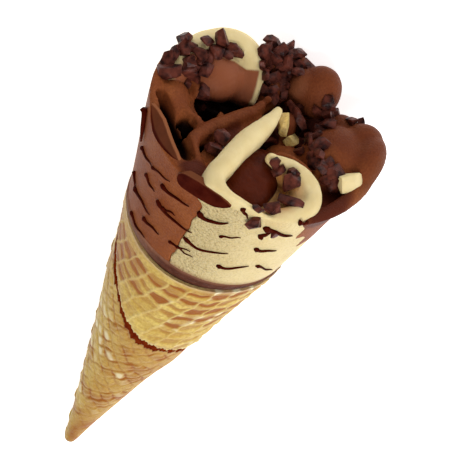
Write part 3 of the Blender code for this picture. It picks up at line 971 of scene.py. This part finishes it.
# %% Stain the vanilla and paint its shade
points = read_points(vanilla_front) / mm
caramel = blot(points, (15.5, 12.0, 147.6), (9.5, 7.4, 5.2), 0.3)
caramel = caramel * (0.75 + 0.35 * np.array([noise.noise(Vector(point) / 3) for point in points]))
write_values(vanilla_front, "caramel", caramel)
# Painted shade along the foot, where the vanilla meets the lining, uses the sauce colour.
write_values(vanilla_front, "sauce", 0.6 * (1 - ease(111.9, 114.2, points[:, 2])))
write_values(vanilla_front, "grain", (0.35 + 0.65 * (1 - ease(3, 16, points[:, 1]))) * (1 - ease(148, 150, points[:, 2])))
write_values(vanilla_front, "shade", in_hollow(points, 144, 147))

points = read_points(vanilla_back) / mm
seen_x, seen_y = seen_place(points)
upper_edge = np.interp(seen_y, [-30, -24, -19.6, -15.6, -11.9, -8.7, -5], [-3, -7, -10.2, -11.6, -11.5, -13.8, -16])
right_edge = np.interp(seen_x, [-16, -13.8, -8.2, -4], [-9.4, -8.9, -7.4, -6.6])
coated = ease(-0.35, 0.35, seen_x - upper_edge) * ease(-0.35, 0.35, right_edge - seen_y) * ease(-28, -26, seen_y)
write_values(vanilla_back, "sauce", coated * ease(143, 147, points[:, 2]))
write_values(vanilla_back, "shade", in_hollow(points, 145.5, 148.5))

# %% Stain the chocolate, and paint its shade and highlights
points = read_points(choc_left) / mm
# Painted shade in the valley between the fold and the V ribbon and by the shard, carried by the sauce value; the tops
# get real sauce.
valley = blot(points, (6.5, -7.0, 147.5), (11.5, 2.6, 4.0), 0.3)
on_top = 0.45 * ease(147.5, 150, points[:, 2]) * (1 - ease(0.93, 0.99, to_side(points)))
valley = np.maximum(valley, blot(points, (26.0, -8.5, 149), (3.6, 5.0, 4.5), 0.3))
write_values(choc_left, "sauce", np.maximum(valley, on_top * ease(-28, -20, points[:, 1])))
turn, share = np.degrees(np.arctan2(points[:, 1] + 1.2, points[:, 0])), to_side(points)
behind_blade = ease(-62, -57, turn) * (1 - ease(-33, -28, turn)) * ease(0.74, 0.8, share) * (1 - ease(0.93, 0.96, share))
write_values(choc_left, "shade", np.maximum(in_hollow(points, 145.0, 148.2), 0.9 * behind_blade))
points = read_points(choc_right) / mm
on_top = 0.65 * ease(145, 149, points[:, 2]) * (1 - 0.7 * ease(-6, 6, points[:, 0]))
write_values(choc_right, "sauce", np.maximum(blot(points, (10.0, 25.0, 148.5), (12.0, 5.4, 5.5), 0.3), on_top))
# Painted highlights: a pale patch on the dome's front left and a pale band along the right edge.
light = 0.8 * blot(points, (-17.5, 2.0, 153.0), (3.6, 2.4, 3.5), 0.6)
light = np.maximum(light, 0.55 * ease(29.0, 31.5, points[:, 1]) * ease(142, 148, points[:, 2]))
write_values(choc_right, "light", light)
write_values(choc_right, "shade", 0.8 * in_hollow(points, 142.5, 145.5) * (1 - ease(8, 14, points[:, 1])))

# %% [markdown]
# ### Large chocolate pieces
#
# Two curved slabs of dark chocolate are set in the rim. Each starts as a finely divided cube; its points
# are then moved so that its left and right ends follow the rim, and its foot and top follow a table. The
# left one leans inwards. Both get a thin painted highlight along the top edge, and the left one's face is
# painted lighter than its shaded foot.

# %% Large pieces


def rim_slab(name, outline, inner, outer, tilt):
    """A curved slab; the outline lists turn, foot height and top height, and tilt is the lean per mm."""
    bare()
    bpy.ops.mesh.primitive_cube_add(size=1)
    slab = bpy.context.object
    slab.name = name
    bpy.ops.object.mode_set(mode="EDIT")
    bpy.ops.mesh.subdivide(number_cuts=30)
    bpy.ops.object.mode_set(mode="OBJECT")
    along, thick, up = (read_points(slab) + 0.5).T
    outline = np.array(outline)
    turn = outline[0, 0] + (outline[-1, 0] - outline[0, 0]) * along
    foot, top = np.interp(turn, outline[:, 0], outline[:, 1]), np.interp(turn, outline[:, 0], outline[:, 2])
    height = foot + (top - foot) * up
    radius = ice_radius(height) + inner + (outer - inner) * thick - tilt * (height - foot)
    azimuth = np.radians(turn)
    sides = radius * np.sin(azimuth) + ice_lean(height)
    write_points(slab, np.stack([radius * np.cos(azimuth), sides, height], axis=1) * mm)
    close_up(slab)
    bpy.ops.object.shade_smooth_by_angle(angle=math.radians(40))
    dress(slab, deep_choc)
    return slab, up, (top - foot) * (1 - up)


blade, up, from_top = rim_slab("dark_blade", [
    (-58, 151.9, 152.1), (-56, 150.8, 152.3), (-54, 149.4, 152.4), (-48, 147.4, 152.4), (-42, 147.6, 152.3),
    (-36, 148.4, 152.1), (-28, 149.9, 151.8), (-24, 151.3, 151.5),
], inner=-0.7, outer=0.2, tilt=0.42)
# Painted highlight along the top edge, and the face painted lighter than its shaded foot.
write_values(blade, "light", 0.25 * ease(0.12, 0.3, up) + 0.6 * np.exp(-(from_top / 0.22) ** 2))

shard, up, from_top = rim_slab("dark_shard", [
    (-21, 145.4, 147.6), (-19.5, 144.3, 149.0), (-17, 144.0, 149.8), (-10, 144.8, 151.1), (-4, 145.2, 151.4),
    (2, 145.8, 151.3), (6, 147.2, 150.7), (8.8, 149.0, 149.8),
], inner=-1.6, outer=0.5, tilt=0.05)
# Painted highlight along the top edge.
write_values(shard, "light", 0.5 * np.exp(-(from_top / 0.25) ** 2))

# %% [markdown]
# ## Chopped chocolate
#
# A few bits are modelled once and then copied. A bit is a cube with its corners cut off by planes set at
# random, like chocolate broken with a knife. Every copy gets its own size and turn, and is dropped along
# the line of sight onto whatever piece lies there. Bits that would sit on top of each other are left out.

# %% Model the bits


def chop(name, seed):
    chance = random.Random(seed)
    bare()
    bpy.ops.mesh.primitive_cube_add(size=1)
    bit = bpy.context.object
    bit.name = name
    bpy.ops.object.mode_set(mode="EDIT")
    for _ in range(6):
        direction = Vector([chance.uniform(-1, 1) for _ in range(3)]).normalized()
        bpy.ops.mesh.select_all(action="SELECT")
        bpy.ops.mesh.bisect(plane_co=direction * chance.uniform(0.34, 0.48), plane_no=direction,
                            use_fill=True, clear_outer=True)
    bpy.ops.mesh.select_all(action="SELECT")
    bpy.ops.mesh.bevel(offset=0.012, segments=1)
    bpy.ops.mesh.select_all(action="SELECT")
    bpy.ops.mesh.normals_make_consistent(inside=False)
    bpy.ops.object.mode_set(mode="OBJECT")
    bpy.ops.object.shade_smooth_by_angle(angle=math.radians(25))
    dress(bit, dark_choc)
    return bit


models = [chop(f"bit model {seed}", seed) for seed in range(8)]
print("faces of the bit models:", [len(model.data.polygons) for model in models])

# %% Find where a bit lands
landing = []
for piece in (choc_left, choc_right, vanilla_front, vanilla_back, pool, blade, shard):
    corners = [tuple(face.vertices) for face in piece.data.polygons]
    landing.append(BVHTree.FromPolygons([vertex.co for vertex in piece.data.vertices], corners))


def where_it_lands(x, y):
    """The topmost spot under a point given in mm at the level of the crests, and the way the surface faces."""
    start = Vector((x, y, level)) * mm - fall * 60 * mm
    hits = [tree.ray_cast(start, fall) for tree in landing]
    hits = [hit for hit in hits if hit[0] is not None]
    return min(hits, key=lambda hit: hit[3])[:2] if hits else None


# %% Drop a bit


def drop(x, y, sizes, chance, heading=None, finish=None):
    """Copy a model to where it lands; sizes are its length, width and thickness in mm."""
    found = where_it_lands(x, y)
    if found is None:
        return None
    spot, facing = found
    model = chance.choice(models)
    bit = model.copy()
    bit.data = model.data.copy()
    bpy.context.scene.collection.objects.link(bit)
    upright = facing.to_track_quat("Z", "Y").to_matrix().to_4x4()
    if heading is None:
        spin = Matrix.Rotation(chance.uniform(0, math.tau), 4, "Z")
        rock = Matrix.Rotation(chance.uniform(-0.55, 0.55), 4, "X") @ Matrix.Rotation(chance.uniform(-0.55, 0.55), 4, "Y")
    else:
        across = upright.inverted().to_3x3() @ Vector((*heading, 0))
        spin = Matrix.Rotation(math.atan2(across.y, across.x), 4, "Z")
        rock = Matrix.Identity(4)
    centre = spot + facing * 0.36 * sizes[2] * mm
    stretch = Matrix.Diagonal((*(Vector(sizes) * mm), 1))
    bit.matrix_world = Matrix.Translation(centre) @ upright @ spin @ rock @ stretch
    if finish:
        dress(bit, finish)
    return bit


def bit_sizes(length, chance):
    return length * chance.uniform(1.0, 1.25), length * chance.uniform(0.75, 0.95), length * chance.uniform(0.5, 0.75)


# %% [markdown]
# Most bits have a place of their own. Others fill patches: new places are tried at random inside an oval,
# and a place is kept only when it is far enough from the bits already there.

# %% Single bits
single_bits = [
    # x and y at the level of the crests, and length, in mm
    (-15, -22, 4.4), (-15, -17.5, 4.2), (-10.5, -21.5, 4.0), (-8, -29, 4.4), (-5, -28.6, 4.2), (-11.5, -18.6, 3.4),
    (5, -28.5, 4.8), (3.5, -18.5, 4.6), (8, -17, 3.0), (-2, -26, 3.6), (-3, -20.5, 3.6), (0.4, -22, 3.8),
    (2.0, -30, 4.2), (-12, -24.5, 3.4), (-7, -24.5, 3.6), (-1, -29.5, 3.8), (4.5, -23.5, 3.6),
    (15.5, -8.2, 4.2), (20.2, -7.9, 4.8), (12.4, 7.2, 3.2), (14.4, 9.4, 3.0), (12.0, 12.8, 3.4), (15.4, 13.8, 5.2),
    (28.2, 13.4, 3.8), (31.0, 9.4, 2.8), (34.6, 10.4, 4.4), (33.6, 17.0, 2.6),
    (2.6, 3.8, 4.6), (6.4, 4.2, 4.6), (-7.4, 3.4, 5.4), (-10.8, 4.4, 4.4),
    (-17.4, 10.4, 4.2), (-20.5, 16.8, 4.2),
]
bits = []
taken = []
chance = random.Random(21)
for x, y, length in single_bits:
    bits.append(drop(x, y, bit_sizes(length, chance), chance))
    taken.append((x, y, length))

# %% Patches of bits
patches = [
    # middle, half sizes, how many places to try
    ((-20.0, -6.6), (7.4, 4.6), 320), ((-26.0, -5.6), (5.6, 5.6), 320), ((-13.0, -3.2), (5.4, 3.0), 160),
    ((-30.0, -2.0), (4.6, 4.2), 200), ((-24.0, -0.6), (4.0, 2.4), 120), ((-19.5, 18.6), (3.6, 4.4), 160),
    ((-12.5, 12.6), (3.6, 3.4), 60),
    ((-6.0, 11.0), (4.6, 3.4), 120), ((0.2, 12.6), (3.4, 3.4), 80), ((3.6, 17), (2.8, 3.6), 80),
    ((6.2, 21.6), (2.8, 2.6), 60), ((-4, -25), (5.0, 4.5), 60),
]
for (x, y), (half_x, half_y), tries in patches:
    for _ in range(tries):
        angle, away = chance.uniform(0, math.tau), math.sqrt(chance.random())
        place = x + half_x * away * math.cos(angle), y + half_y * away * math.sin(angle)
        length = chance.uniform(2.8, 4.4)
        if all(math.dist(place, other[:2]) > 0.31 * (length + other[2]) for other in taken):
            bits.append(drop(*place, bit_sizes(length, chance), chance))
            taken.append((*place, length))
bits.append(drop(-6.9, 5.4, (8.8, 3.4, 2.2), chance, heading=(2.4, 7.2)))
bits.append(drop(21.8, 16.4, (7.0, 2.6, 1.8), chance, heading=(-1.2, 6.0)))
bits = [bit for bit in bits if bit]
chopped = joined("chopped_chocolate", bits)
print(len(bits), "bits of chocolate")

# %% Crumbs of vanilla
crumbs = [
    drop(3.6, 26.4, (7.6, 5.4, 4.4), chance, heading=(-1, 0.6), finish=vanilla),
    drop(-1.6, 4.2, (6.0, 2.6, 3.0), chance, heading=(1, 0.25), finish=crumb),
    drop(1.8, 7.0, (5.0, 3.6, 3.0), chance, heading=(1, 1), finish=crumb),
    drop(-4.6, -29.5, (4.4, 2.2, 1.6), chance, heading=(1, -0.4), finish=vanilla),
]
vanilla_crumbs = joined("vanilla_crumbs", crumbs)
for model in models:
    bpy.data.objects.remove(model)

# %% [markdown]
# ## Dark streaks
#
# Threads of dark chocolate lie in the side of the ice cream. Each is a thin curve that follows the side
# from one turn and height to another, thick at its first end and tapering to the other.

# %% Where the streaks run
streaks = [
    # first turn and height, last turn and height, sag, half thickness at the thick end
    (-3.3, 139.8, 12.4, 142.2, -1.9, 1.15), (12.4, 134.5, 22.7, 137.1, 0.2, 0.6), (-4.7, 126.1, 22.0, 128.6, -1.8, 0.8),
    (20.6, 121.1, 38.9, 124.1, -1.0, 0.8), (43.6, 124.1, 62.3, 118.6, 0.0, 0.7), (33.8, 133.4, 47.8, 132.9, -0.6, 0.9),
    (29.6, 145.2, 48.7, 141.0, -0.4, 1.2), (31.0, 139.9, 35.0, 143.2, 0.0, 1.2), (44.6, 148.8, 51.1, 148.1, 0.0, 1.1),
    (-28.7, 130.2, -1.8, 130.2, -0.9, 0.85), (-23.5, 129.6, -14.5, 131.8, 0.2, 0.7), (-11.9, 120.0, 2.6, 122.2, 0.0, 0.6),
    (-6.7, 120.6, 5.5, 120.2, 0.0, 0.55), (-61.6, 123.0, -51.7, 120.6, 0.6, 0.8), (-53.5, 121.2, -30.7, 122.3, 0.4, 0.85),
    (-43.9, 132.3, -32.3, 131.6, -0.3, 0.75), (-28.9, 137.1, -9.1, 139.5, -0.5, 0.9), (-35.4, 118.3, -19.5, 119.6, 0.0, 0.8),
    (-50, 112.8, -28.7, 112.6, -0.4, 0.7), (-56.5, 135.6, -40.0, 137.9, 0.0, 0.75), (-40.0, 137.9, -24.3, 141.3, 0.0, 0.6),
    (-64, 146.5, -57.5, 137, 0.5, 1.6), (14, 150.5, 19, 147.5, 0.0, 1.0),
]


# %% Draw the streaks


def streak(start, start_height, end, end_height, sag, thick):
    places, widths = [], []
    for part in np.linspace(0, 1, 12):
        turn = math.radians(start + (end - start) * part)
        height = start_height + (end_height - start_height) * part + sag * math.sin(math.pi * part)
        height += 0.25 * math.sin(part * 9 + start)
        radius = ice_radius(height) + 0.35 * thick
        places.append((radius * math.cos(turn), radius * math.sin(turn) + ice_lean(height), height))
        blob = math.exp(-(part / 0.12) ** 2)
        widths.append(max(0.15, (0.5 + 0.75 * blob) * min(1, 6 * part + 0.4) * (1 - part) ** 0.35))
    return swept(places, widths, thick, steps=2, roundness=2)


veins = joined("chocolate_streaks", [streak(*sizes) for sizes in streaks])
bpy.ops.object.shade_smooth()
dress(veins, deep_choc)

# %% [markdown]
# ## Putting it together
#
# Every standing piece is now laid down. Large pieces take the place of the plain node of the same kind;
# the bits, crumbs and streaks are extra and only ride along.

# %% Lay everything down
lay_down(lining, "chocolate_lining")
lay_down(choc_left, "ice_chocolate_left")
lay_down(choc_right, "ice_chocolate_right")
lay_down(vanilla_front, "ice_vanilla_front")
lay_down(vanilla_back, "ice_vanilla_back")
lay_down(pool, "sauce_pool")
lay_down(blade, "chocolate_blade")
lay_down(shard, "chocolate_shard")
lay_down(chopped, None)
lay_down(veins, None)
lay_down(vanilla_crumbs, None)
